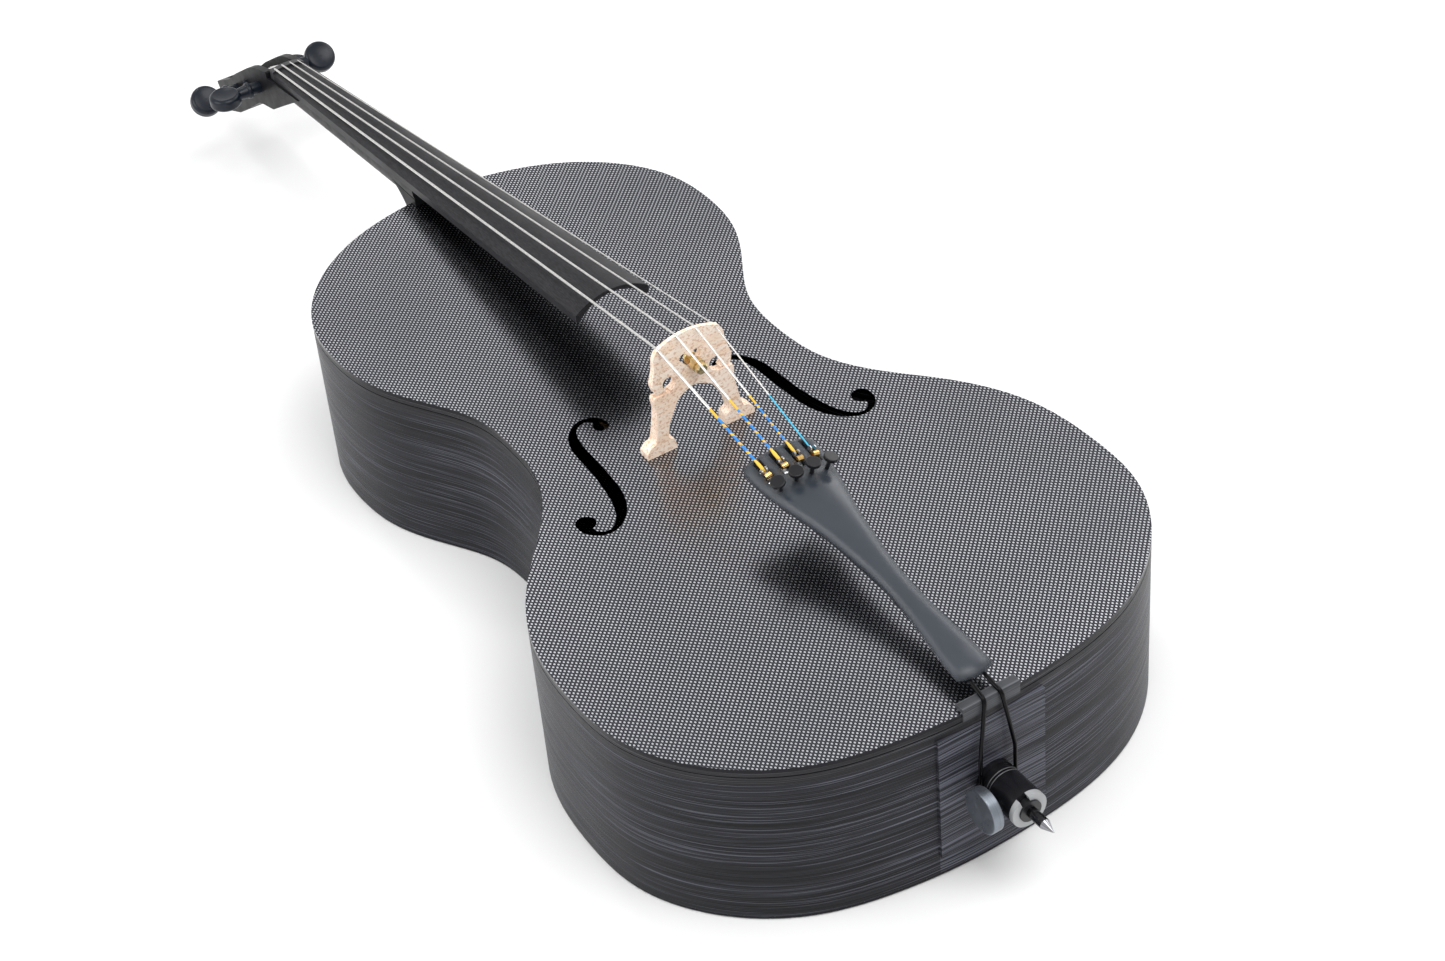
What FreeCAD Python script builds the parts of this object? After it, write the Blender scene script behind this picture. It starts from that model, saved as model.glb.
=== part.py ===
import FreeCAD, Part
import math
import os

# A full-size cello with a flat carbon top, printed ribs and a cut-off pegbox, lying on its back.
# X runs across (+X is the treble side), Y from the tail to the head, Z up through the top plate.
# Lengths are laid out from the tail end of the body; every solid is then moved by Y_SHIFT, so
# that the origin is midway along the whole instrument, on the surface that it lies on.

V = FreeCAD.Vector

# Overall
BODY_LENGTH = 750.0
BODY_DEPTH = 140.0
PIN_REACH = 65.5          # endpin tip beyond the tail end of the body
HEAD_END = 1157.0         # far end of the pegbox
Y_SHIFT = (PIN_REACH - HEAD_END) / 2
PLATE = 3.0
WALL = 3.0
RIM_HEIGHT = 11.0
TOP = BODY_DEPTH
NECK_BLOCK_Y = 718.0
NECK_BOLTS = [(0, 108.0), (0, 38.0)]

# Half outline of the body, from the tail end to the neck end
HALF_OUTLINE = [(0, 0), (70, 5.2), (130, 21.9), (182, 60), (213.4, 114), (219, 170), (211, 231),
                (180.6, 288.6), (144.2, 332.7), (121.6, 375), (116, 417), (121, 467.4),
                (144, 512.5), (164, 555.7), (170, 601), (163, 650.4), (137.5, 693), (96, 726),
                (48.6, 744), (0, BODY_LENGTH)]

# Right f-hole: the two long edges and the two round eyes; the left one is its mirror
F_OUTER = [(47, 407), (54.4, 415.9), (62.9, 417.2), (75.2, 409.9), (83, 395), (85.6, 366),
           (89.1, 334.6), (94.2, 314.3), (101.7, 302), (108, 298.3), (114.5, 300.8), (116.5, 308)]
F_INNER = [(125.8, 313), (124.4, 305.5), (117.2, 297.2), (108.5, 294.6), (96.2, 299.4), (86, 311),
           (79.3, 328.4), (76.3, 357), (75.4, 373), (73.1, 400), (67.5, 410.4), (59, 413),
           (55, 406)]
F_EYES = [(52, 403, 6.0), (118.3, 314.4, 7.6)]

# Neck and fingerboard
BOARD_LOW = 462.0
BOARD_END = 1020.0
BOARD_EDGE_LOW = 55.5     # height of the board's long edge above the top plate, at its low end
BOARD_SLOPE = 0.12
BOARD_HALF_LOW = 31.5
BOARD_HALF_END = 15.2
BOARD_RADIUS = 52.0
BOARD_SIDE = 6.4
NECK_START = 742.0
NECK_DEPTH_LOW = 24.5
NECK_DEPTH_END = 20.0
NUT_LENGTH = 7.0
NUT_PROUD = 1.7

# Pegbox
CHEEK_HALF = 18.0
SLOT_HALF = 11.5
PEG_TAPER = 0.022
PEG_RADIUS = 4.9          # at the middle of the pegbox
PEG_CLEARANCE = 0.05
PEG_HEAD_RADIUS = 14.0
PEG_HEAD_THICK = 12.0

# Strings: place across at the bridge, the nut and the tailpiece, thickness, and their peg
BRIDGE_Y = 356.5
NUT_Y = 1023.5
STRINGS = {
    "c": {"bridge_x": -24.0, "bridge_h": 84.0, "nut_x": -11.2, "tail_x": -19.1, "d": 2.0,
          "peg": (1050.0, -37.0), "side": -1, "wind": (-9.8, -3.8),
          "head_out": 52.0, "head_turn": 0, "knob_h": 8.6},
    "g": {"bridge_x": -8.1, "bridge_h": 89.4, "nut_x": -3.8, "tail_x": -6.2, "d": 1.7,
          "peg": (1106.0, -67.0), "side": -1, "wind": (-8.8, -2.0),
          "head_out": 50.5, "head_turn": 40, "knob_h": 7.8},
    "d": {"bridge_x": 8.1, "bridge_h": 89.3, "nut_x": 3.8, "tail_x": 6.2, "d": 1.4,
          "peg": (1133.0, -83.0), "side": 1, "wind": (2.0, 9.0),
          "head_out": 50.5, "head_turn": 0, "knob_h": 8.6},
    "a": {"bridge_x": 24.0, "bridge_h": 83.6, "nut_x": 11.2, "tail_x": 19.1, "d": 1.1,
          "peg": (1080.0, -49.6), "side": 1, "wind": (5.6, 9.9),
          "head_out": 54.5, "head_turn": 45, "knob_h": 8.3},
}
STRING_GAP = 0.05

# Tailpiece, in its own frame: x across, v towards the head, n out of its face
TAIL_HEAD = (245.5, 49.7)          # y and height of the head edge
TAIL_TILT = math.degrees(math.atan(0.18))
TAIL_SIDE = [(29.3, -6), (29.0, -14), (27.2, -30), (23.2, -50), (18.0, -71), (13.1, -100), (9.9, -128),
             (9.2, -152), (10.7, -180), (12.8, -202), (14.2, -220), (14.5, -231.5)]
TAIL_END = -235.3
TAIL_BOTTOM = (-4.0, 2.0)          # n of its flat underside, at the head end and at the tail end
TAIL_CROWN = 7.0                   # n of its face, at the middle
TAIL_CAMBER = 66.0                 # radius of its face, across

# Fine tuners, square to the face at each one: v along the tailpiece and a height from its face
SLOT_WIDE = 6.4
PIVOT = (-15.2, -7.0)
SCREW_V = -34.4
SCREW_RADIUS = 1.5
TUNER_KNOB_RADIUS = 5.4
TUNER_KNOB_THICK = 3.0
BALL_V = -19.6
BALL_N = 1.0
BALL_RADIUS = 2.2

# Endpin and its clamp
PIN_Z = 70.3
PIN_RADIUS = 4.0
PIN_LENGTH = 470.0
TIP_LENGTH = 9.5
COLLAR_RADIUS = 14.0
COLLAR_OUT = 36.0
CLAMP_Y = -22.3
CLAMP_KNOB_RADIUS = 16.4
CLAMP_KNOB_THICK = 8.0
CLAMP_KNOB_IN = 19.5
CORD_D = 3.0
CORD_X = 5.8              # where the cord leaves the tailpiece
CORD_N = 0.4
CORD_Y = -6.2             # where it goes round the endpin's collar


# ---------------------------------------------------------------- helpers

def save(name, shape):
    moved = shape.copy()
    moved.translate(V(0, Y_SHIFT, 0))
    moved.exportStep("parts/" + name + ".step")


def box(x0, x1, y0, y1, z0, z1):
    return Part.makeBox(x1 - x0, y1 - y0, z1 - z0, V(x0, y0, z0))


def rod(start, direction, radius, length):
    return Part.makeCylinder(radius, length, V(*start), V(*direction))


def fuse(shapes):
    return shapes[0].multiFuse(shapes[1:]).removeSplitter()


def mirrored(shape):
    return shape.mirror(V(0, 0, 0), V(1, 0, 0))


def rounded_wire(points, radii, closed=False):
    """Straight runs joined by tangent arcs; radii has one entry per point, 0 for a sharp corner."""
    points = [V(*p) for p in points]
    count = len(points)
    ends = []
    for i, here in enumerate(points):
        if radii[i] == 0 or (not closed and i in (0, count - 1)):
            ends.append((here, None, here))
            continue
        back = (points[i - 1] - here).normalize()
        ahead = (points[(i + 1) % count] - here).normalize()
        half = back.getAngle(ahead) / 2
        cut = radii[i] / math.tan(half)
        bisector = (back + ahead).normalize()
        middle = here + bisector * (radii[i] / math.sin(half) - radii[i])
        ends.append((here + back * cut, middle, here + ahead * cut))
    edges = []
    for i in range(count if closed else count - 1):
        start = ends[i][2]
        stop = ends[(i + 1) % count][0]
        if (stop - start).Length > 1e-6:
            edges.append(Part.LineSegment(start, stop).toShape())
        arc = ends[(i + 1) % count]
        if arc[1] is not None and (closed or i + 1 < count - 1):
            edges.append(Part.Arc(*arc).toShape())
    return Part.Wire(Part.__sortEdges__(edges))


def tube(points, radii, diameter):
    """A round solid along straight runs joined by tangent arcs."""
    path = rounded_wire(points, radii)
    first = V(*points[0])
    section = Part.Wire(Part.makeCircle(diameter / 2, first, V(*points[1]) - first))
    return path.makePipeShell([section], True, True)


def spline_wire(point_rows):
    """A closed wire of splines, one for each row of points, joined by straight lines."""
    edges = []
    for row in point_rows:
        curve = Part.BSplineCurve()
        curve.interpolate([V(*p) for p in row])
        edges.append(curve.toShape())
    for i, row in enumerate(point_rows):
        stop = point_rows[(i + 1) % len(point_rows)][0]
        if (V(*row[-1]) - V(*stop)).Length > 1e-6:
            edges.append(Part.LineSegment(V(*row[-1]), V(*stop)).toShape())
    return Part.Wire(Part.__sortEdges__(edges))


def prism(wire, along):
    return Part.Face(wire).extrude(V(*along))


# ---------------------------------------------------------------- body

def outline_curve():
    ring = HALF_OUTLINE + [(-x, y) for x, y in reversed(HALF_OUTLINE[1:-1])]
    curve = Part.BSplineCurve()
    curve.interpolate(Points=[V(x, y, 0) for x, y in ring], PeriodicFlag=True)
    return curve


def body_prism(inset, z0, z1):
    """The body's outline, moved in by inset, as a solid from z0 to z1."""
    curve = outline_curve()
    if inset:
        points = []
        for x, y in HALF_OUTLINE + [(-x, y) for x, y in reversed(HALF_OUTLINE[1:-1])]:
            along = curve.tangent(curve.parameter(V(x, y, 0)))[0]
            points.append(V(x, y, 0) + V(-along.y, along.x, 0) * inset)
        curve = Part.BSplineCurve()
        curve.interpolate(Points=points, PeriodicFlag=True)
    wire = Part.Wire(curve.toShape())
    wire.translate(V(0, 0, z0))
    return prism(wire, (0, 0, z1 - z0))


def f_hole():
    outer = [(x, y, TOP - 2 * PLATE) for x, y in F_OUTER]
    inner = [(x, y, TOP - 2 * PLATE) for x, y in F_INNER]
    cut = prism(spline_wire([outer, inner]), (0, 0, 4 * PLATE))
    eyes = [rod((x, y, TOP - 2 * PLATE), (0, 0, 1), r, 4 * PLATE) for x, y, r in F_EYES]
    return fuse([cut] + eyes)


def saddle_recess():
    return box(-23, 23, -3, 8, TOP - 7, TOP + 5)


def top_plate():
    hole = f_hole()
    return body_prism(0, TOP - PLATE, TOP).cut(hole).cut(mirrored(hole)).cut(saddle_recess())


def top_rim():
    low = TOP - PLATE - RIM_HEIGHT
    ring = body_prism(0, low, TOP - PLATE).cut(body_prism(WALL, low - 1, TOP))
    flange = body_prism(WALL - 0.5, TOP - PLATE - 5, TOP - PLATE).cut(body_prism(13, low, TOP))
    seam = body_prism(-2, TOP - 7.4, TOP - 6.6).cut(body_prism(0.6, TOP - 8, TOP - 6))
    blocks = tail_block_shape().fuse(neck_block_shape())
    return fuse([ring, flange]).cut(seam).cut(saddle_recess()).cut(blocks)


def rib_shell():
    high = TOP - PLATE - RIM_HEIGHT
    wall = body_prism(0, PLATE, high).cut(body_prism(WALL, 0, TOP))
    flange = body_prism(WALL - 0.5, PLATE, PLATE + 5).cut(body_prism(13, 0, TOP))
    pad = box(-43.5, 43.5, -0.4, 5, 19, high)
    shell = fuse([wall, flange, pad]).cut(tail_block_shape()).cut(neck_block_shape())
    for x, z in NECK_BOLTS:
        shell = shell.cut(rod((x, 690, z), (0, 1, 0), 3.1, 80))
    return shell.cut(rod((0, -5, PIN_Z), (0, 1, 0), 11, 30))


def back_plate():
    plate = body_prism(0, 0, PLATE)
    lower_edges = [e for e in plate.Edges if abs(e.BoundBox.ZMax) < 1e-6]
    return plate.makeFillet(1.6, lower_edges)


def tail_block_shape():
    return body_prism(WALL, PLATE, TOP - PLATE).common(box(-32, 32, 0, 27, 0, TOP))


def neck_block_shape():
    return body_prism(WALL, PLATE, TOP - PLATE).common(box(-30, 30, NECK_BLOCK_Y, 760, 0, TOP))


def tail_block():
    return tail_block_shape().cut(rod((0, 0, PIN_Z), (0, 1, 0), 11, 60)).cut(saddle_recess())


def neck_block():
    block = neck_block_shape()
    for x, z in NECK_BOLTS:
        block = block.cut(rod((x, 690, z), (0, 1, 0), 3.1, 80))
    return block


def neck_bolts():
    bolts = []
    for x, z in NECK_BOLTS:
        shank = rod((x, NECK_BLOCK_Y - 2, z), (0, 1, 0), 3.0, 762 - NECK_BLOCK_Y)
        washer = rod((x, NECK_BLOCK_Y - 1.6, z), (0, 1, 0), 8.0, 1.6)
        head = rod((x, NECK_BLOCK_Y - 7.6, z), (0, 1, 0), 5.0, 6)
        socket = rod((x, NECK_BLOCK_Y - 8, z), (0, 1, 0), 2.6, 3.4)
        bolts.append(fuse([shank, washer, head]).cut(socket))
    return Part.Compound(bolts)


def bass_bar():
    under = TOP - PLATE
    side = [(-29, 110, under), (-29, 640, under), (-29, 640, under - 5), (-29, 375, under - 34),
            (-29, 110, under - 5)]
    wire = rounded_wire(side, [0, 0, 0, 500, 0], closed=True)
    return prism(wire, (10, 0, 0)).translated(V(-5, 0, 0))


def sound_post():
    return rod((33, 333, PLATE), (0, 0, 1), 5.5, TOP - 2 * PLATE)


# ---------------------------------------------------------------- neck, board and nut

def board_edge(y):
    return TOP + BOARD_EDGE_LOW - BOARD_SLOPE * (y - BOARD_LOW)


def board_half(y):
    return BOARD_HALF_LOW + (BOARD_HALF_END - BOARD_HALF_LOW) * (y - BOARD_LOW) / (BOARD_END - BOARD_LOW)


def board_crown(y):
    return BOARD_RADIUS - math.sqrt(BOARD_RADIUS ** 2 - board_half(y) ** 2)


def board_section(y, low, rise=0.0):
    """The board's outline across, from low up to its round face."""
    half = board_half(y)
    edge = board_edge(y) + rise
    left = V(-half, y, edge)
    right = V(half, y, edge)
    arc = Part.Arc(left, V(0, y, edge + board_crown(y)), right).toShape()
    sides = [(right, V(half, y, low)), (V(half, y, low), V(-half, y, low)), (V(-half, y, low), left)]
    return Part.Wire([arc] + [Part.LineSegment(a, b).toShape() for a, b in sides])


def hollow_section(y, half, depth, low):
    ends = (V(-half, y, low), V(half, y, low))
    arc = Part.Arc(ends[0], V(0, y, low + depth), ends[1]).toShape()
    return Part.Wire([arc, Part.LineSegment(ends[1], ends[0]).toShape()])


def fingerboard():
    sections = [board_section(y, board_edge(y) - BOARD_SIDE) for y in (BOARD_LOW, BOARD_END)]
    board = Part.makeLoft(sections, True, True)
    low_end = BOARD_LOW - 1
    high_end = NECK_START - 3
    hollow = Part.makeLoft([
        hollow_section(low_end, 28.6, 14.2, board_edge(low_end) - BOARD_SIDE - 0.1),
        hollow_section(high_end, 19.0, 6.5, board_edge(high_end) - BOARD_SIDE - 0.1)], True, True)
    return board.cut(hollow)


def neck_section(y, depth):
    top = board_edge(y) - BOARD_SIDE
    half = board_half(y)
    bow = Part.Ellipse(V(0, y, top - depth), V(half, y, top), V(0, y, top))
    arc = bow.toShape(-math.pi / 2, math.pi / 2)
    return Part.Wire([arc, Part.LineSegment(V(half, y, top), V(-half, y, top)).toShape()])


def heel_section(z, half, tip):
    middle = tip - half
    arc = Part.Arc(V(half, middle, z), V(0, tip, z), V(-half, middle, z)).toShape()
    corners = [V(-half, middle, z), V(-half, NECK_START, z), V(half, NECK_START, z), V(half, middle, z)]
    lines = [Part.LineSegment(a, b).toShape() for a, b in zip(corners, corners[1:])]
    return Part.Wire([arc] + lines)


CHEEK_OUTLINE = [(966, -11.8, 0), (1029.5, -19.2, 0), (1031, -13.5, 1.5), (1063, -22.5, 90),
                 (1104, -49.5, 60), (1126, -66.5, 40), (HEAD_END, -83, 1.5), (1141.5, -107, 4),
                 (1112, -95, 22), (1095, -84, 20), (1058, -57.5, 16), (1028, -50.5, 14),
                 (998, -31.5, 30), (967, -12.3, 0)]
SLOT_OUTLINE = [(1029.5, 20, 0), (1029.5, -13, 0), (1035.5, -38, 8), (1056, -48.5, 10), (1096, -76, 20),
                (1129, -95, 6), (1143, -91, 6), (1151, -75, 0), (1160, 20, 0)]


def profile_prism(outline, half):
    points = [(-half, y, TOP + h) for y, h, r in outline]
    return prism(rounded_wire(points, [r for y, h, r in outline], closed=True), (2 * half, 0, 0))


def peg_cone(side, start, stop, extra=0.0):
    """The tapered shank of a peg, between two places along X, thickest on its head's side."""
    lengths = sorted((start * side, stop * side))
    radii = [PEG_RADIUS + PEG_TAPER * x + extra for x in lengths]
    cone = Part.makeCone(radii[0], radii[1], lengths[1] - lengths[0], V(lengths[0], 0, 0), V(1, 0, 0))
    return cone if side > 0 else mirrored(cone)


def board_room():
    """The space over the neck's flat, which the fingerboard and the nut fill."""
    sections = []
    for y in (NECK_START - 1, BOARD_END + NUT_LENGTH):
        low = board_edge(y) - BOARD_SIDE
        corners = [(-30, y, low), (30, y, low), (30, y, low + 40), (-30, y, low + 40)]
        sections.append(rounded_wire(corners, [0] * 4, closed=True))
    return Part.makeLoft(sections, True, True)


def neck():
    stem = Part.makeLoft([neck_section(NECK_START, NECK_DEPTH_LOW),
                          neck_section(BOARD_END + 9, NECK_DEPTH_END)], True, True)
    heel = Part.makeLoft([heel_section(0, 17, 771), heel_section(50, 18.2, 769),
                          heel_section(100, 20, 770), heel_section(126, 21.5, 777),
                          heel_section(146, 22, 800)], True, False)
    pegbox = profile_prism(CHEEK_OUTLINE, CHEEK_HALF)
    shape = fuse([stem, heel, pegbox])
    shape = shape.cut(profile_prism(SLOT_OUTLINE, SLOT_HALF))
    shape = shape.cut(body_prism(0, -1, TOP)).cut(board_room())
    for string in STRINGS.values():
        y, h = string["peg"]
        hole = peg_cone(string["side"], -30 * string["side"], 30 * string["side"], PEG_CLEARANCE)
        hole.translate(V(0, y, TOP + h))
        shape = shape.cut(hole)
    for x, z in NECK_BOLTS:
        shape = shape.cut(rod((x, 740, z), (0, 1, 0), 3.0, 20))
    return shape


def nut():
    y0 = BOARD_END
    y1 = BOARD_END + NUT_LENGTH
    blank = Part.makeLoft([board_section(y, board_edge(y) - BOARD_SIDE, NUT_PROUD) for y in (y0, y1)],
                          True, True)
    for name in STRINGS:
        blank = blank.cut(string_solid(name, 2 * STRING_GAP))
    return blank


# ---------------------------------------------------------------- tailpiece and fine tuners

def to_tailpiece(shape):
    y, h = TAIL_HEAD
    placed = shape.copy()
    placed.rotate(V(0, 0, 0), V(1, 0, 0), TAIL_TILT)
    placed.translate(V(0, y, TOP + h))
    return placed


def tail_point(x, v, n):
    tilt = math.radians(TAIL_TILT)
    y, h = TAIL_HEAD
    return (x, y + v * math.cos(tilt) - n * math.sin(tilt), TOP + h + v * math.sin(tilt) + n * math.cos(tilt))


def at_station(shape, string):
    """Turn a piece built over the middle line about the face's axis, to its own string's place."""
    roll = math.degrees(math.asin(string["tail_x"] / TAIL_CAMBER))
    placed = shape.copy()
    placed.rotate(V(0, 0, TAIL_CROWN - TAIL_CAMBER), V(0, 1, 0), roll)
    return placed


def station_point(string, v, up):
    """A point of a string's middle plane, up from the face."""
    reach = TAIL_CAMBER + up
    x = string["tail_x"] * reach / TAIL_CAMBER
    return tail_point(x, v, TAIL_CROWN - TAIL_CAMBER + math.sqrt(reach ** 2 - x ** 2))


def tuner_slot():
    """Room for one fine tuner: its slot, the channel under it, its screw's hole and its pin's hole."""
    half = SLOT_WIDE / 2
    slot = box(-half, half, -26, -3.3, -20, 20)
    channel = box(-half, half, -41, -3.3, -20, TAIL_CROWN - 3.4)
    screw = rod((0, SCREW_V, -20), (0, 0, 1), SCREW_RADIUS + 0.05, 40)
    pin = rod((-5, PIVOT[0], TAIL_CROWN + PIVOT[1]), (1, 0, 0), 1.2, 10)
    return fuse([slot, channel, screw, pin])


def tail_outline():
    """The tailpiece seen square to its face: a straight head edge, waisted sides and a bowed tail end."""
    low = min(TAIL_BOTTOM)
    side = [V(x, v, low) for x, v in TAIL_SIDE]
    right = Part.BSplineCurve()
    right.interpolate(side)
    left = Part.BSplineCurve()
    left.interpolate([V(-p.x, p.y, low) for p in side])
    corner = side[0].x - 6
    knee = 6 * math.sqrt(0.5)
    edges = [right.toShape(), left.toShape()]
    for s in (-1, 1):
        middle = V(s * (corner + knee), knee - 6, low)
        edges.append(Part.Arc(V(s * side[0].x, -6, low), middle, V(s * corner, 0, low)).toShape())
    edges.append(Part.LineSegment(V(-corner, 0, low), V(corner, 0, low)).toShape())
    last = side[-1]
    edges.append(Part.Arc(V(-last.x, last.y, low), V(0, TAIL_END, low), last).toShape())
    return Part.Wire(Part.__sortEdges__(edges))


def tailpiece():
    blank = prism(tail_outline(), (0, 0, 30))
    axis = (0, -300, TAIL_CROWN - TAIL_CAMBER)
    shape = blank.common(rod(axis, (0, 1, 0), TAIL_CAMBER, 400))
    rim = [e for e in shape.Edges if e.BoundBox.ZMin > -1]
    shape = shape.makeFillet(3.4, rim)
    head_n, end_n = TAIL_BOTTOM
    under = [(-50, 5, head_n - 9), (-50, 5, head_n), (-50, TAIL_END, end_n), (-50, TAIL_END - 5, head_n - 9)]
    shape = shape.cut(prism(rounded_wire(under, [0] * 4, closed=True), (100, 0, 0)))
    head_boss = box(-22.5, 22.5, -43, -2.5, -8, -1)
    tail_boss = box(-11.5, 11.5, -228, -206, -2, 4)
    shape = fuse([shape, head_boss, tail_boss])
    for string in STRINGS.values():
        shape = shape.cut(at_station(tuner_slot(), string))
    for side in (-1, 1):
        shape = shape.cut(rod((side * CORD_X, -240, CORD_N), (0, 1, 0), CORD_D / 2 + 0.1, 29))
    return to_tailpiece(shape)


def tuner_pins():
    pin = rod((-5, PIVOT[0], TAIL_CROWN + PIVOT[1]), (1, 0, 0), 1.2, 10)
    return to_tailpiece(Part.Compound([at_station(pin, string) for string in STRINGS.values()]))


def tuner_lever(string):
    """A bell crank: a forked head up through the slot and an arm back under the screw."""
    v, n = PIVOT
    side = [(v + 2.4, n + 2.2, 1), (v + 1.6, BALL_N + 3.2, 0.8), (v - 1.4, BALL_N + 3.2, 0.8),
            (v - 2.6, n + 4.2, 2), (v - 6, n + 1.4, 3), (SCREW_V - 2.6, n + 1.1, 0),
            (SCREW_V - 2.6, n - 1.2, 0), (v - 5, n - 1.6, 4), (v, n - 3.0, 2.5), (v + 2.8, n - 1.6, 1.5)]
    points = [(-2.4, a, TAIL_CROWN + b) for a, b, r in side]
    plate = prism(rounded_wire(points, [r for a, b, r in side], closed=True), (4.8, 0, 0))
    fork = box(-1.4, 1.4, v - 8, v + 8, TAIL_CROWN + n + 3.4, TAIL_CROWN + 10)
    bore = rod((-5, v, TAIL_CROWN + n), (1, 0, 0), 1.25, 10)
    return to_tailpiece(at_station(plate.cut(fork).cut(bore), string))


def string_ball(string):
    """The brass barrel on a string's end, drawn against the tail side of the fork."""
    n = TAIL_CROWN + BALL_N
    barrel = rod((-2.3, BALL_V, n), (1, 0, 0), BALL_RADIUS, 4.6)
    barrel = barrel.cut(rod((-4, BALL_V, n), (1, 0, 0), 0.8, 8))
    return to_tailpiece(at_station(barrel, string))


def tuner_stem(string):
    foot = TAIL_CROWN + PIVOT[1] + 1.25
    top = TAIL_CROWN + string["knob_h"] + TUNER_KNOB_THICK - 1
    shank = rod((0, SCREW_V, foot + 1), (0, 0, 1), SCREW_RADIUS, top - foot - 1)
    point = Part.makeCone(0.5, SCREW_RADIUS, 1, V(0, SCREW_V, foot), V(0, 0, 1))
    return to_tailpiece(at_station(fuse([shank, point]), string))


def tuner_knob(string):
    base = TAIL_CROWN + string["knob_h"]
    disc = rod((0, SCREW_V, base), (0, 0, 1), TUNER_KNOB_RADIUS, TUNER_KNOB_THICK)
    disc = disc.makeFillet(0.7, [e for e in disc.Edges if e.isClosed()])
    hub = rod((0, SCREW_V, base - 1.6), (0, 0, 1), 2.6, 2)
    bore = rod((0, SCREW_V, base - 3), (0, 0, 1), SCREW_RADIUS + 0.05, 2.1 + TUNER_KNOB_THICK)
    return to_tailpiece(at_station(disc.fuse(hub).cut(bore), string))


# ---------------------------------------------------------------- bridge and strings

BRIDGE_SIDE = [(46, 0, 0), (46, 4.5, 2), (41.5, 8.8, 2), (37.4, 9.6, 3), (35, 21, 30), (32.9, 36, 12),
               (34, 43.5, 4), (33.4, 47.2, 1.2), (24.5, 47.2, 1), (24.5, 49.4, 0.9), (31.6, 49.4, 2),
               (33.8, 57, 8), (30.2, 69, 30), (29.6, 78, 5)]
BRIDGE_ARCH = [(21, 0, 0), (22, 8.4, 3), (27, 10, 2.6), (24.6, 21.5, 12), (14.5, 39.5, 14), (0, 45.8, 12)]
BRIDGE_TOP_X = 26.5
BRIDGE_TOP_H = 83.6
BRIDGE_PEAK = 95.2        # where the two straight halves of the top would meet
BRIDGE_SPACE = [(346.5, 0), (357.3, 0), (358.0, 92), (355.2, 92)]


def bridge_loop():
    """Corner points of the bridge's outline, all the way round, each with its radius."""
    half = BRIDGE_SIDE + [(BRIDGE_TOP_X, BRIDGE_TOP_H, 3)]
    left = [(-x, h, r) for x, h, r in reversed(half)]
    left_arch = [(-x, h, r) for x, h, r in BRIDGE_ARCH]
    right_arch = BRIDGE_ARCH[-2::-1]
    return half + [(0, BRIDGE_PEAK, 56)] + left + left_arch + right_arch


def bridge():
    """Cut from one board: feet, waisted legs, side wings, two kidneys and a heart."""
    loop = bridge_loop()
    points = [(x, 340, TOP + h) for x, h, r in loop]
    board = prism(rounded_wire(points, [r for x, h, r in loop], closed=True), (0, 30, 0))
    wedge = [(-60, y, TOP + h) for y, h in BRIDGE_SPACE]
    board = board.common(prism(rounded_wire(wedge, [0] * 4, closed=True), (120, 0, 0)))
    for side in (-1, 1):
        mouth = box(19.8, 26, 330, 370, TOP + 47.2, TOP + 49.4)
        board = board.cut(mouth if side > 0 else mirrored(mouth))
        board = board.cut(rod((side * 19.8, 330, TOP + 54), (0, 1, 0), 5.6, 40))
        board = board.cut(rod((side * 5.2, 330, TOP + 68.8), (0, 1, 0), 3.9, 40))
    point = [(-8.4, 330, TOP + 66.8), (-5.2, 330, TOP + 69), (5.2, 330, TOP + 69), (8.4, 330, TOP + 66.8),
             (0, 330, TOP + 57.5)]
    board = board.cut(prism(rounded_wire(point, [0, 0, 0, 0, 1.5], closed=True), (0, 40, 0)))
    board = board.cut(rod((BUTTON_X, 330, TOP + BUTTON_H), (0, 1, 0), BUTTON_SHANK + 0.05, 40))
    for name in STRINGS:
        board = board.cut(string_solid(name, 2 * STRING_GAP))
    return board


BUTTON_X = 3.0
BUTTON_H = 62.4
BUTTON_SHANK = 2.0


def bridge_button():
    """A turned brass weight on the tail side of the bridge, its shank passing through the heart."""
    x = BUTTON_X
    z = TOP + BUTTON_H
    front = 341.2
    profile = [(0, front), (3.6, front), (4.6, front + 1), (4.6, front + 3.4), (3.7, front + 3.8),
               (3.7, front + 4.6), (5.2, front + 5), (5.2, front + 10.4), (BUTTON_SHANK, front + 10.4),
               (BUTTON_SHANK, front + 17.2), (0, front + 17.2)]
    points = [(x + r, y, z) for r, y in profile]
    face = Part.Face(rounded_wire(points, [0] * len(points), closed=True))
    return face.revolve(V(x, 0, z), V(0, 1, 0), 360)


def bridge_button_nut():
    ring = rod((BUTTON_X, 358.1, TOP + BUTTON_H), (0, 1, 0), 5.2, 2.6)
    ring = ring.makeFillet(0.5, [e for e in ring.Edges if e.isClosed()])
    return ring.cut(rod((BUTTON_X, 350, TOP + BUTTON_H), (0, 1, 0), BUTTON_SHANK, 30))


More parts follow.
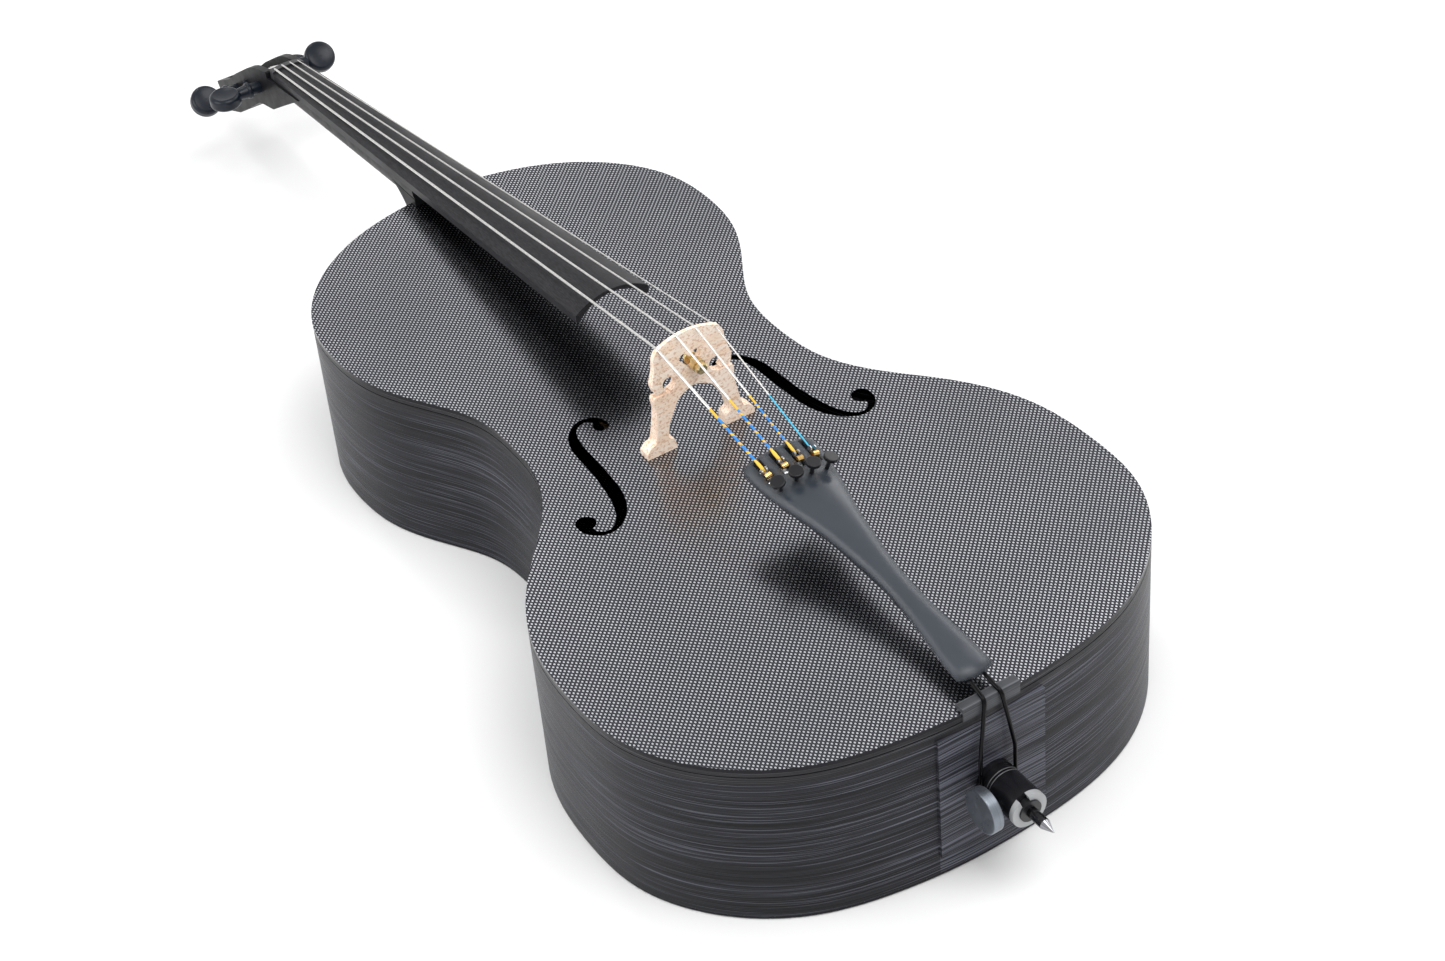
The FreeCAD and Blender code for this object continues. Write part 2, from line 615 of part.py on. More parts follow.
def string_points(name):
    """Corner points of a string's centre line, from its barrel to its peg."""
    string = STRINGS[name]
    tail = station_point(string, PIVOT[0] - 0.2, BALL_N)
    bridge_top = (string["bridge_x"], BRIDGE_Y, TOP + string["bridge_h"])
    crown = math.sqrt(BOARD_RADIUS ** 2 - string["nut_x"] ** 2) - BOARD_RADIUS
    nut_h = board_edge(NUT_Y) + board_crown(BOARD_END) + crown + 1.5
    nut_top = (string["nut_x"], NUT_Y, nut_h)
    y, h = string["peg"]
    around = PEG_RADIUS + string["d"] + 0.3 + string["d"] / 2
    away = V(0, y - nut_top[1], TOP + h - nut_top[2])
    tangent = math.sqrt(away.Length ** 2 - around ** 2)
    turn = math.atan2(away.z, away.y) + math.atan2(around, tangent)
    wind_x = sum(string["wind"]) / 2
    last = (wind_x, nut_top[1] + tangent * math.cos(turn), nut_top[2] + tangent * math.sin(turn))
    return [tail, bridge_top, nut_top, last]


def string_solid(name, extra=0.0):
    return tube(string_points(name), [0, 6, 5, 0], STRINGS[name]["d"] + extra)


# ---------------------------------------------------------------- pegs

def peg(string):
    side = string["side"]
    y, h = string["peg"]
    shank = peg_cone(side, -(CHEEK_HALF + 2.5) * side, (CHEEK_HALF + 10) * side)
    out = CHEEK_HALF + 9.5
    ring = rod((out, 0, 0), (1, 0, 0), 7.4, 4.0)
    ring = ring.makeFillet(1.4, [e for e in ring.Edges if e.isClosed()])
    centre = string["head_out"]
    stalk = Part.makeCone(6.2, 4.6, centre - out - 12, V(out + 3.5, 0, 0), V(1, 0, 0))
    head = rod((centre, 0, -PEG_HEAD_THICK / 2), (0, 0, 1), PEG_HEAD_RADIUS, PEG_HEAD_THICK)
    head = head.makeFillet(4.0, [e for e in head.Edges if e.isClosed()])
    for up in (-1, 1):
        dish = Part.makeSphere(40, V(centre, 0, up * (40 + PEG_HEAD_THICK / 2 - 1.6)))
        head = head.cut(dish)
    grip = fuse([ring, stalk, head])
    if side < 0:
        grip = mirrored(grip)
    grip.rotate(V(0, 0, 0), V(1, 0, 0), string["head_turn"])
    whole = fuse([shank, grip])
    whole.translate(V(0, y, TOP + h))
    return whole


def string_winding(string):
    y, h = string["peg"]
    start, stop = string["wind"]
    turns = []
    count = max(2, round((stop - start) / string["d"]))
    pitch = (stop - start) / count
    for i in range(count):
        x = start + pitch * (i + 0.5)
        ring = rod((x - pitch / 2, 0, 0), (1, 0, 0), PEG_RADIUS + string["d"], pitch)
        turns.append(ring.makeChamfer(pitch * 0.28, [e for e in ring.Edges if e.isClosed()]))
    coil = fuse(turns).cut(peg_cone(string["side"], -30, 30))
    coil.translate(V(0, y, TOP + h))
    return coil


# ---------------------------------------------------------------- saddle, cord and endpin

def cord_points():
    side = [tail_point(CORD_X, -212, CORD_N), tail_point(CORD_X, -233, CORD_N), (6.2, 5, TOP + 5.8),
            (6.8, -2.4, TOP + 4.4), (COLLAR_RADIUS + 0.2, CORD_Y, PIN_Z + 26)]
    loop = COLLAR_RADIUS + 0.2
    side += [(loop, CORD_Y, PIN_Z - loop)]
    return side + [(-x, y, z) for x, y, z in reversed(side)]


CORD_RADII = [0, 10, 5, 5, 25, COLLAR_RADIUS + 0.1]


def tail_cord(extra=0.0):
    return tube(cord_points(), CORD_RADII + CORD_RADII[::-1], CORD_D + extra)


def saddle():
    block = box(-23, 23, -0.8, 8, TOP - 7, TOP + 4.2)
    top_edges = [e for e in block.Edges if e.BoundBox.ZMin > TOP + 4 and e.BoundBox.XLength > 40]
    block = block.makeFillet(2.4, top_edges)
    return block.cut(tail_cord(0.3))


def endpin_collar():
    outer = rod((0, -COLLAR_OUT, PIN_Z), (0, 1, 0), COLLAR_RADIUS, COLLAR_OUT - 0.4)
    plug = rod((0, -1, PIN_Z), (0, 1, 0), 11, 37)
    body = fuse([outer, plug])
    lines = [Part.makeTorus(COLLAR_RADIUS, 0.7, V(0, y, PIN_Z), V(0, 1, 0)) for y in (-10.5, -13)]
    bore = rod((0, -60, PIN_Z), (0, 1, 0), 8.5, 56)
    deep = rod((0, -60, PIN_Z), (0, 1, 0), 5.5, 120)
    screw = rod((0, CLAMP_Y, PIN_Z), (-1, 0, 0), 3.05, 30)
    half = CORD_D / 2 + 0.15
    groove = rod((0, CORD_Y - half, PIN_Z), (0, 1, 0), 30, 2 * half)
    groove = groove.cut(rod((0, CORD_Y - half, PIN_Z), (0, 1, 0), COLLAR_RADIUS - 1.45, 2 * half))
    return body.cut(groove).cut(lines).cut(bore).cut(deep).cut(screw)


def endpin_ring():
    ring = rod((0, -COLLAR_OUT - 4, PIN_Z), (0, 1, 0), COLLAR_RADIUS - 0.2, 4)
    ring = ring.cut(rod((0, -60, PIN_Z), (0, 1, 0), 8.5, 60))
    notch = box(-3.5, 3.5, -60, 0, PIN_Z + 4, PIN_Z + 30)
    notch.rotate(V(0, 0, PIN_Z), V(0, 1, 0), -20)
    return ring.cut(notch)


def endpin_bush():
    bush = rod((0, -COLLAR_OUT - 5.5, PIN_Z), (0, 1, 0), 8.5, COLLAR_OUT + 1.5)
    bush = bush.cut(rod((0, -60, PIN_Z), (0, 1, 0), PIN_RADIUS + 0.05, 80))
    return bush.cut(rod((0, CLAMP_Y, PIN_Z), (-1, 0, 0), 3.05, 30))


def endpin_rod():
    start = -PIN_REACH + TIP_LENGTH
    bar = rod((0, start, PIN_Z), (0, 1, 0), PIN_RADIUS, PIN_LENGTH)
    stop = rod((0, start + PIN_LENGTH - 6, PIN_Z), (0, 1, 0), PIN_RADIUS + 2.2, 6)
    return fuse([bar, stop])


def endpin_tip():
    return Part.makeCone(0.3, PIN_RADIUS, TIP_LENGTH, V(0, -PIN_REACH, PIN_Z), V(0, 1, 0))


def clamp_stem():
    reach = CLAMP_KNOB_IN + CLAMP_KNOB_THICK - 3
    stem = rod((-PIN_RADIUS - 0.05, CLAMP_Y, PIN_Z), (-1, 0, 0), 3.0, reach - PIN_RADIUS - 0.05)
    ring = rod((-14.6, CLAMP_Y, PIN_Z), (-1, 0, 0), 4.6, 1.6)
    return fuse([stem, ring])


def clamp_knob():
    disc = rod((-CLAMP_KNOB_IN, CLAMP_Y, PIN_Z), (-1, 0, 0), CLAMP_KNOB_RADIUS, CLAMP_KNOB_THICK)
    disc = disc.makeFillet(0.8, [e for e in disc.Edges if e.isClosed()])
    return disc.cut(rod((0, CLAMP_Y, PIN_Z), (-1, 0, 0), 3.05, CLAMP_KNOB_IN + CLAMP_KNOB_THICK - 2.9))


# ---------------------------------------------------------------- everything

SINGLE_PIECES = [back_plate, rib_shell, top_rim, top_plate, bass_bar, sound_post, tail_block, neck_block,
                 neck_bolts, neck, fingerboard, nut, saddle, bridge, bridge_button, bridge_button_nut,
                 tailpiece, tuner_pins, tail_cord, endpin_collar, endpin_ring, endpin_bush, endpin_rod,
                 endpin_tip, clamp_stem, clamp_knob]
PIECES_PER_STRING = [peg, string_winding, tuner_lever, string_ball, tuner_stem, tuner_knob]

os.makedirs("parts", exist_ok=True)
for piece in SINGLE_PIECES:
    save(piece.__name__, piece())
for name, string in STRINGS.items():
    save("string_" + name, string_solid(name))
    for piece in PIECES_PER_STRING:
        save(piece.__name__ + "_" + name, piece(string))
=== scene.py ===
import math
import bpy
from mathutils import Matrix, Vector


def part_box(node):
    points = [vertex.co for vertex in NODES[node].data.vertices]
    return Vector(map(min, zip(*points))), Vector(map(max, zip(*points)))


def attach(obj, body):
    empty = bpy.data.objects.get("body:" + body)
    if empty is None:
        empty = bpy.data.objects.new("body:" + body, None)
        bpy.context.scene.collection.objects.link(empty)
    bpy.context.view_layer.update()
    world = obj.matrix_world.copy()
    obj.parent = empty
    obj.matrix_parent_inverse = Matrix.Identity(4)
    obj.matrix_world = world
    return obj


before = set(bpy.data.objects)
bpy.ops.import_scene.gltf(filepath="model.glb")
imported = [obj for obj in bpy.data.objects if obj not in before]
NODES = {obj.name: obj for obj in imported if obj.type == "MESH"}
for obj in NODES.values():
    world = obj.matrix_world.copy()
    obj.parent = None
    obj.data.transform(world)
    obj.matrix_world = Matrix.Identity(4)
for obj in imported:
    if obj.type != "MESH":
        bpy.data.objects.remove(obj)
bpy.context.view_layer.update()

# Places along the body are given in millimetres from its tail end, and heights from its back.
Y_SHIFT = -545.75
TOP = 140.0


def along_body(y):
    """A place along the body in the frame's metres."""
    return (y + Y_SHIFT) / 1000


# ---------------------------------------------------------------- shader building

class Shader:
    """One procedural material on object coordinates, in metres."""

    def __init__(self, name, color, rough, metal=0.0, specular=0.5, coat=0.0, coat_rough=0.1):
        self.mat = bpy.data.materials.new(name)
        self.mat.use_nodes = True
        self.mat.diffuse_color = (*color, 1)
        self.tree = self.mat.node_tree
        self.bsdf = self.tree.nodes["Principled BSDF"]
        self.bsdf.inputs["Base Color"].default_value = (*color, 1)
        self.bsdf.inputs["Roughness"].default_value = rough
        self.bsdf.inputs["Metallic"].default_value = metal
        self.bsdf.inputs["Specular IOR Level"].default_value = specular
        self.bsdf.inputs["Coat Weight"].default_value = coat
        self.bsdf.inputs["Coat Roughness"].default_value = coat_rough
        coord = self.tree.nodes.new("ShaderNodeTexCoord")
        self.place = coord.outputs["Object"]
        self.x, self.y, self.z = self.split(self.place)

    def link(self, output, socket):
        self.tree.links.new(output, socket)

    def put(self, value, socket):
        """A number, a colour or another node's output goes into a socket."""
        if isinstance(value, (int, float)):
            socket.default_value = value
        elif isinstance(value, tuple):
            socket.default_value = value if len(value) != 3 or socket.type != "RGBA" else (*value, 1)
        else:
            self.link(value, socket)

    def split(self, vector):
        node = self.tree.nodes.new("ShaderNodeSeparateXYZ")
        self.link(vector, node.inputs[0])
        return node.outputs

    def math(self, op, a, b=0.0, c=0.0, clamp=False):
        node = self.tree.nodes.new("ShaderNodeMath")
        node.operation = op
        node.use_clamp = clamp
        for value, socket in zip((a, b, c), node.inputs):
            self.put(value, socket)
        return node.outputs[0]

    def add(self, a, b):
        return self.math("ADD", a, b)

    def less(self, a, b):
        return self.math("SUBTRACT", a, b)

    def times(self, a, b):
        return self.math("MULTIPLY", a, b)

    def size(self, a):
        return self.math("ABSOLUTE", a)

    def wave(self, place, pitch):
        """A sine with this pitch, in metres."""
        return self.math("SINE", self.times(place, 2 * math.pi / pitch))

    def stretched(self, sx, sy, sz):
        """The place, scaled differently along each axis, for grain and brushing."""
        node = self.tree.nodes.new("ShaderNodeCombineXYZ")
        for value, scale, socket in zip((self.x, self.y, self.z), (sx, sy, sz), node.inputs):
            self.link(self.times(value, scale), socket)
        return node.outputs[0]

    def noise(self, scale, detail=4.0, rough=0.55, where=None):
        node = self.tree.nodes.new("ShaderNodeTexNoise")
        node.inputs["Scale"].default_value = scale
        node.inputs["Detail"].default_value = detail
        node.inputs["Roughness"].default_value = rough
        self.link(where or self.place, node.inputs["Vector"])
        return node.outputs[0]

    def step(self, value, low, high, out_low=0.0, out_high=1.0):
        """A smooth step from out_low at low to out_high at high."""
        node = self.tree.nodes.new("ShaderNodeMapRange")
        node.interpolation_type = "SMOOTHSTEP"
        self.put(value, node.inputs["Value"])
        node.inputs["From Min"].default_value = low
        node.inputs["From Max"].default_value = high
        node.inputs["To Min"].default_value = out_low
        node.inputs["To Max"].default_value = out_high
        return node.outputs[0]

    def inside(self, value, edge, blur):
        """1 below the edge and 0 above it."""
        return self.step(value, edge - blur, edge + blur, 1.0, 0.0)

    def mix(self, factor, a, b):
        node = self.tree.nodes.new("ShaderNodeMix")
        node.data_type = "RGBA"
        self.put(factor, node.inputs[0])
        self.put(a, node.inputs[6])
        self.put(b, node.inputs[7])
        return node.outputs[2]

    def color(self, value):
        self.link(value, self.bsdf.inputs["Base Color"])

    def rough(self, value):
        self.link(value, self.bsdf.inputs["Roughness"])

    def soften(self, radius):
        """Shade edges as if they were rounded to this radius."""
        node = self.tree.nodes.new("ShaderNodeBevel")
        node.samples = 6
        node.inputs["Radius"].default_value = radius
        bump = self.bsdf.inputs["Normal"].links[0].from_node
        self.link(node.outputs[0], bump.inputs["Normal"])

    def bump(self, height, distance, strength=1.0):
        node = self.tree.nodes.new("ShaderNodeBump")
        node.inputs["Strength"].default_value = strength
        node.inputs["Distance"].default_value = distance
        self.link(height, node.inputs["Height"])
        self.link(node.outputs[0], self.bsdf.inputs["Normal"])


def paint(skin, *objects):
    for item in objects:
        target = NODES[item] if isinstance(item, str) else item
        target.data.materials.clear()
        target.data.materials.append(skin.mat)


def scaled(color, factor):
    return tuple(channel * factor for channel in color)


def lightened(color, factor):
    return tuple(min(1.0, channel * factor) for channel in color)


# ---------------------------------------------------------------- kinds of surface

def satin(name, color, rough, tint=0.25, grain=900.0, bump=0.00002, **more):
    """A plain moulded or turned surface: faint mottling, uneven sheen and fine texture."""
    skin = Shader(name, color, rough, **more)
    skin.color(skin.mix(skin.noise(38.0, 5.0), scaled(color, 1 - tint), lightened(color, 1 + tint)))
    skin.rough(skin.step(skin.noise(90.0, 3.0), 0.25, 0.75, rough * 0.88, rough * 1.14))
    skin.bump(skin.noise(grain, 2.0), bump, 0.5)
    return skin


# Tows to the metre, and a whole number added to their counts so that these stay above zero.
TOWS_ACROSS = 488.0
TOWS_ALONG = 500.0
COUNT_SHIFT = 1000.0
WEAVE_EDGE = (0.02, 0.02, 0.023)


def tow_oval(skin, across, along, half_across, half_along):
    """How far out a place is in a tow's oval outline: 0 in its middle and 1 at its edge."""
    out_across = skin.math("POWER", skin.size(skin.math("DIVIDE", across, half_across)), 2.2)
    out_along = skin.math("POWER", skin.size(skin.math("DIVIDE", along, half_along)), 2.2)
    return skin.add(out_across, out_along)


def weave(name, bright, cross, gap, rough):
    """Plain-weave carbon, 2 mm tows under clear resin, so it mirrors the room softly.
    Lengthwise tows are painted brighter, a painted highlight for the light they catch, crosswise ones stay
    darker, and the gaps are nearly black."""
    skin = Shader(name, cross, rough, metal=1.0)
    wander = skin.times(skin.less(skin.noise(9.0, 2.0), 0.5), 0.0006)
    across = skin.add(skin.times(skin.add(skin.x, wander), TOWS_ACROSS), COUNT_SHIFT)
    along = skin.add(skin.times(skin.add(skin.y, wander), TOWS_ALONG), COUNT_SHIFT)
    squares = skin.add(skin.math("FLOOR", across), skin.math("FLOOR", along))
    lengthwise = skin.math("MODULO", squares, 2.0)
    crosswise = skin.less(1.0, lengthwise)
    u = skin.less(skin.math("FRACT", across), 0.5)
    v = skin.less(skin.math("FRACT", along), 0.5)
    long_tow = skin.step(tow_oval(skin, u, v, 0.40, 0.56), 0.25, 1.15, 1.0, 0.0)
    cross_tow = skin.step(tow_oval(skin, u, v, 0.62, 0.44), 0.45, 1.25, 1.0, 0.0)
    fibre_grain = skin.noise(1.0, 3.0, 0.6, skin.stretched(5200, 260, 900))
    fibre = skin.step(fibre_grain, 0.3, 0.75, 0.80, 1.12)
    # Painted highlight: the lengthwise tows' bright colour stands for the sheen that only they catch.
    painted_tow_highlight = skin.math("MULTIPLY", long_tow, skin.times(fibre, 0.95), clamp=True)
    woven = skin.mix(lengthwise, skin.mix(cross_tow, gap, cross), skin.mix(painted_tow_highlight, gap, bright))
    patchy = skin.step(skin.noise(7.0, 3.0), 0.3, 0.7, 0.80, 1.0)
    shaded = skin.mix(patchy, scaled(cross, 0.9), woven)
    facing = skin.tree.nodes.new("ShaderNodeNewGeometry")
    lean = skin.split(facing.outputs["True Normal"])[2]
    flat = skin.step(skin.size(lean), 0.5, 0.8)
    skin.color(skin.mix(flat, WEAVE_EDGE, shaded))
    skin.rough(skin.step(skin.noise(5.0, 3.0), 0.3, 0.7, rough * 0.92, rough * 1.08))
    crown = skin.add(skin.times(lengthwise, long_tow), skin.times(crosswise, cross_tow))
    skin.bump(crown, 0.00003, 0.25)
    return skin


# The pad at the tail, where the printed lines show clearest, made lighter and with painted highlights along
# its lines: half its width, and where it stops.
PAD_HALF = 0.0435
PAD_STOP = -0.495
LAYER_PITCH = 0.0011


def printed(name, color, rough, streak=0.5, glint=11.0, pad=False):
    """Printed plastic: level layer lines, with long fine streaks along them, lighter and darker, partly the
    print's own marks and partly painted highlight; broken stretches of them carry painted glints.
    """
    skin = Shader(name, color, rough, specular=0.15)
    layer = skin.wave(skin.z, LAYER_PITCH)
    fine = skin.noise(1.0, 3.0, 0.6, skin.stretched(7, 7, 1500))
    coarse = skin.noise(1.0, 2.0, 0.6, skin.stretched(4, 4, 520))
    streaks = skin.add(skin.times(fine, 0.7), skin.times(coarse, 0.3))
    dark = scaled(color, 1 - streak)
    light = lightened(color, 1 + streak * 2.2)
    surface = skin.mix(skin.step(streaks, 0.38, 0.60), dark, light)
    # Painted highlight: broken stretches of the streaks are raised to glint times the colour, as glints
    # along the printed lines.
    stretches = skin.step(skin.noise(4.0, 3.0), 0.35, 0.65, 0.45, 1.0)
    broken = skin.times(skin.step(fine, 0.57, 0.64), stretches)
    painted_glint = skin.math("MULTIPLY", broken, 1.6 * streak, clamp=True)
    surface = skin.mix(painted_glint, surface, scaled(color, glint))
    if pad:
        on_pad = skin.times(skin.inside(skin.size(skin.x), PAD_HALF, 0.0004),
                            skin.inside(skin.y, PAD_STOP, 0.005))
        # On the pad the colour is lifted, and its streaks are painted highlights up to 15 times the rib's
        # colour.
        pad_lines_and_highlights = skin.mix(skin.step(streaks, 0.46, 0.58), scaled(color, 1.6), scaled(color, 15.0))
        surface = skin.mix(skin.times(on_pad, 0.85), surface, pad_lines_and_highlights)
    skin.color(surface)
    skin.rough(skin.step(streaks, 0.38, 0.62, rough * 0.75, rough * 1.25))
    skin.bump(skin.add(skin.times(layer, 0.35), streaks), 0.00016, 0.6)
    return skin


def board_finish():
    """Black fingerboard with a fine lengthwise grain."""
    skin = Shader("board_black", (0.014, 0.014, 0.016), 0.42, specular=0.25)
    grain = skin.noise(1.0, 4.0, 0.6, skin.stretched(1300, 14, 1300))
    skin.color(skin.mix(skin.step(grain, 0.3, 0.72), (0.006, 0.006, 0.007), (0.024, 0.024, 0.028)))
    skin.rough(skin.step(skin.noise(14.0, 3.0), 0.3, 0.7, 0.40, 0.52))
    skin.bump(grain, 0.00003, 0.4)
    return skin


def maple():
    """Pale wood with the short brown flecks of quarter-cut maple."""
    skin = Shader("maple", (0.74, 0.55, 0.36), 0.42, coat=0.15, coat_rough=0.3)
    fleck = skin.noise(1.0, 3.0, 0.6, skin.stretched(420, 700, 620))
    ring = skin.noise(1.0, 4.0, 0.5, skin.stretched(26, 260, 330))
    base = skin.mix(skin.step(ring, 0.3, 0.7), (0.93, 0.71, 0.54), (0.99, 0.86, 0.74))
    skin.color(skin.mix(skin.step(fleck, 0.50, 0.62, 0.0, 0.65), base, (0.60, 0.30, 0.15)))
    skin.rough(skin.step(fleck, 0.3, 0.7, 0.38, 0.5))
    skin.bump(ring, 0.00004, 0.4)
    return skin


def spruce():
    """Straight-grained spruce for the pieces inside."""
    skin = Shader("spruce", (0.70, 0.52, 0.32), 0.55)
    rings = skin.noise(1.0, 3.0, 0.5, skin.stretched(700, 6, 240))
    skin.color(skin.mix(skin.step(rings, 0.4, 0.65), (0.76, 0.58, 0.37), (0.50, 0.31, 0.16)))
    skin.bump(rings, 0.00004, 0.4)
    return skin


TURNING_LINES = 2600.0
TURNING_BLUR = 30.0


def turned_metal(name, color, rough, axis="y", metal=1.0):
    """Lathe-turned metal: fine rings square to the axis it was turned about."""
    skin = Shader(name, color, rough, metal=metal)
    scales = [TURNING_LINES if letter == axis else TURNING_BLUR for letter in "xyz"]
    rings = skin.noise(1.0, 2.0, 0.5, skin.stretched(*scales))
    skin.color(skin.mix(skin.step(rings, 0.3, 0.7), scaled(color, 0.84), color))
    skin.rough(skin.step(skin.noise(160.0, 3.0), 0.3, 0.7, rough * 0.8, rough * 1.25))
    skin.bump(rings, 0.00002, 0.3)
    return skin


STEEL = (0.80, 0.79, 0.77)
WINDING_PITCH = 0.00045
SILK_PITCH = 0.0088
# How steeply the silk's two colours climb round the string, in radians to the metre across it.
SILK_CLIMB = 900.0


def silken(skin, metal, silk, spiral, silk_from, spiral_from):
    """Silk thread over the metal below silk_from: one colour alone, then both below spiral_from."""
    fuzz = skin.times(skin.less(skin.noise(700.0, 2.0), 0.5), 0.0012)
    place = skin.add(skin.y, fuzz)
    turn = skin.add(skin.times(place, 2 * math.pi / SILK_PITCH), skin.times(skin.x, SILK_CLIMB))
    thread = skin.mix(skin.step(skin.math("SINE", turn), 0.50, 0.68), silk, spiral)
    in_spiral = skin.inside(place, along_body(spiral_from), 0.0006)
    on_silk = skin.inside(place, along_body(silk_from), 0.0005)
    skin.color(skin.mix(on_silk, metal, skin.mix(in_spiral, spiral, thread)))
    skin.link(skin.times(skin.less(1.0, on_silk), 0.85), skin.bsdf.inputs["Metallic"])
    skin.rough(skin.step(on_silk, 0.0, 1.0, 0.28, 0.6))


def wound_string(name, *silk):
    """Flat-wound steel, with silk below the bridge when the silk's colours and places are given."""
    skin = Shader(name, STEEL, 0.28, metal=0.85)
    metal = skin.mix(skin.step(skin.noise(420.0, 3.0), 0.3, 0.7), scaled(STEEL, 0.80), STEEL)
    if silk:
        silken(skin, metal, *silk)
    else:
        skin.color(metal)
    skin.bump(skin.wave(skin.y, WINDING_PITCH), 0.00003, 0.15)
    return skin


GROOVES = (-10.5, -13.0)
# The grooves' pale grey is a painted highlight along each groove.
GROOVE_HIGHLIGHT = (0.10, 0.10, 0.105)


def grooved_collar():
    """The endpin's black collar with two turned grooves round it, each painted with a pale highlight."""
    skin = satin("collar_black", (0.006, 0.006, 0.008), 0.24, tint=0.3)
    for groove in GROOVES:
        off = skin.size(skin.less(skin.y, along_body(groove)))
        under = skin.bsdf.inputs["Base Color"].links[0].from_socket
        skin.color(skin.mix(skin.inside(off, 0.0004, 0.0001), under, GROOVE_HIGHLIGHT))
    return skin


def tail_composite():
    """The tailpiece's grey composite, its edges shaded round."""
    skin = satin("tail_composite", (0.027, 0.034, 0.045), 0.24, tint=0.16, grain=700.0,
                 bump=0.000006, specular=0.6)
    skin.soften(0.010)
    return skin


# ---------------------------------------------------------------- body, neck and fittings

TOW_GAP = (0.008, 0.008, 0.010)
BACK_GAP = (0.008, 0.008, 0.009)
paint(weave("carbon_weave", (0.93, 0.945, 1.00), (0.085, 0.088, 0.104), TOW_GAP, 0.25), "top_plate")
paint(weave("carbon_weave_back", (0.80, 0.81, 0.85), (0.055, 0.056, 0.062), BACK_GAP, 0.33), "back_plate")
paint(printed("printed_rib", (0.0084, 0.0087, 0.0110), 0.38, streak=0.7, glint=15.0, pad=True), "rib_shell")
paint(printed("printed_rim", (0.014, 0.014, 0.016), 0.40, streak=0.35), "top_rim")
paint(printed("block_core", (0.050, 0.050, 0.055), 0.5, glint=3.0), "tail_block", "neck_block")
paint(printed("saddle_grey", (0.050, 0.052, 0.057), 0.5, streak=0.4, glint=3.0), "saddle")
neck_skin = satin("printed_neck", (0.008, 0.008, 0.0095), 0.42, tint=0.4, grain=1300.0, specular=0.12)
paint(neck_skin, "neck")
paint(board_finish(), "fingerboard")
paint(satin("nut_black", (0.026, 0.026, 0.029), 0.4), "nut")
paint(maple(), "bridge")
paint(spruce(), "bass_bar", "sound_post")
paint(turned_metal("brass_turned", (0.83, 0.66, 0.34), 0.26), "bridge_button", "bridge_button_nut")
paint(tail_composite(), "tailpiece")
cord_skin = satin("cord_black", (0.002, 0.002, 0.003), 0.12, tint=0.3, bump=0.000004, specular=0.12)
paint(cord_skin, "tail_cord")
paint(turned_metal("bright_steel", (0.62, 0.63, 0.65), 0.18, "x"), "tuner_pins", "neck_bolts", "clamp_stem")

# ---------------------------------------------------------------- endpin

paint(grooved_collar(), "endpin_collar")
paint(satin("bush_black", (0.008, 0.008, 0.010), 0.35, tint=0.3), "endpin_bush")
paint(satin("clear_washer", (0.34, 0.35, 0.36), 0.35, tint=0.1), "endpin_ring")
paint(turned_metal("black_metal", (0.050, 0.050, 0.055), 0.16), "endpin_rod")
paint(turned_metal("tip_steel", (0.30, 0.30, 0.32), 0.16), "endpin_tip")
paint(turned_metal("knob_alloy", (0.22, 0.245, 0.28), 0.34, "x", metal=0.8), "clamp_knob")

# ---------------------------------------------------------------- pegs, strings and fine tuners

BLUE = (0.018, 0.22, 0.62)
CYAN = (0.05, 0.48, 0.72)
YELLOW = (0.80, 0.47, 0.035)
# The silk of each string: its colours, where it starts, and where their spiral starts below that.
SILKS = {
    "c": (BLUE, YELLOW, 293.0, 283.5),
    "g": (BLUE, YELLOW, 290.0, 280.0),
    "d": (BLUE, YELLOW, 287.0, 278.0),
    "a": (CYAN, CYAN, 284.0, 284.0),
}
plain_steel = wound_string("string_steel")
peg_skin = satin("peg_black", (0.007, 0.010, 0.017), 0.30, tint=0.2, specular=0.28)
lever_skin = turned_metal("lever_steel", (0.50, 0.51, 0.53), 0.22, "x")
ball_skin = turned_metal("ball_brass", (0.86, 0.56, 0.20), 0.24, "x")
stem_skin = turned_metal("tuner_stem_black", (0.09, 0.09, 0.10), 0.26, "z")
knob_skin = satin("tuner_black", (0.006, 0.006, 0.008), 0.30, tint=0.25, specular=0.35)
for letter, silk in SILKS.items():
    paint(wound_string("string_" + letter + "_wound", *silk), "string_" + letter)
    paint(plain_steel, "string_winding_" + letter)
    paint(peg_skin, "peg_" + letter)
    paint(lever_skin, "tuner_lever_" + letter)
    paint(ball_skin, "string_ball_" + letter)
    paint(stem_skin, "tuner_stem_" + letter)
    paint(knob_skin, "tuner_knob_" + letter)


# ---------------------------------------------------------------- silk sleeves at the tuners

# Where each string crosses the bridge: across, along the body, and above the top plate.
STRING_RESTS = {
    "c": (-24.0, 356.5, 84.0),
    "g": (-8.1, 356.5, 89.4),
    "d": (8.1, 356.5, 89.3),
}
SLEEVE_RADII = {"c": 0.00125, "g": 0.00135, "d": 0.00115}
SLEEVE_START = 241.5
SLEEVE_STOP = 229.5
SLEEVE_SIDES = 28
# The sleeve's taper: how far along it, and the share of its full radius there.
SLEEVE_TAPER = ((0.0, 0.50), (0.18, 0.75), (0.40, 1.0), (0.80, 0.96), (1.0, 0.65))


def sleeve_points(start, turn, length, radius):
    points = []
    for share, stoutness in SLEEVE_TAPER:
        reach = radius * stoutness
        for side in range(SLEEVE_SIDES):
            angle = 2 * math.pi * side / SLEEVE_SIDES
            spot = Vector((reach * math.cos(angle), reach * math.sin(angle), share * length))
            points.append(start + turn @ spot)
    return points


def sleeve_faces():
    faces = []
    for ring in range(len(SLEEVE_TAPER) - 1):
        near = ring * SLEEVE_SIDES
        far = near + SLEEVE_SIDES
        for side in range(SLEEVE_SIDES):
            after = (side + 1) % SLEEVE_SIDES
            faces.append((near + side, near + after, far + after, far + side))
    last = (len(SLEEVE_TAPER) - 1) * SLEEVE_SIDES
    faces.append(tuple(range(SLEEVE_SIDES))[::-1])
    faces.append(tuple(range(last, last + SLEEVE_SIDES)))
    return faces


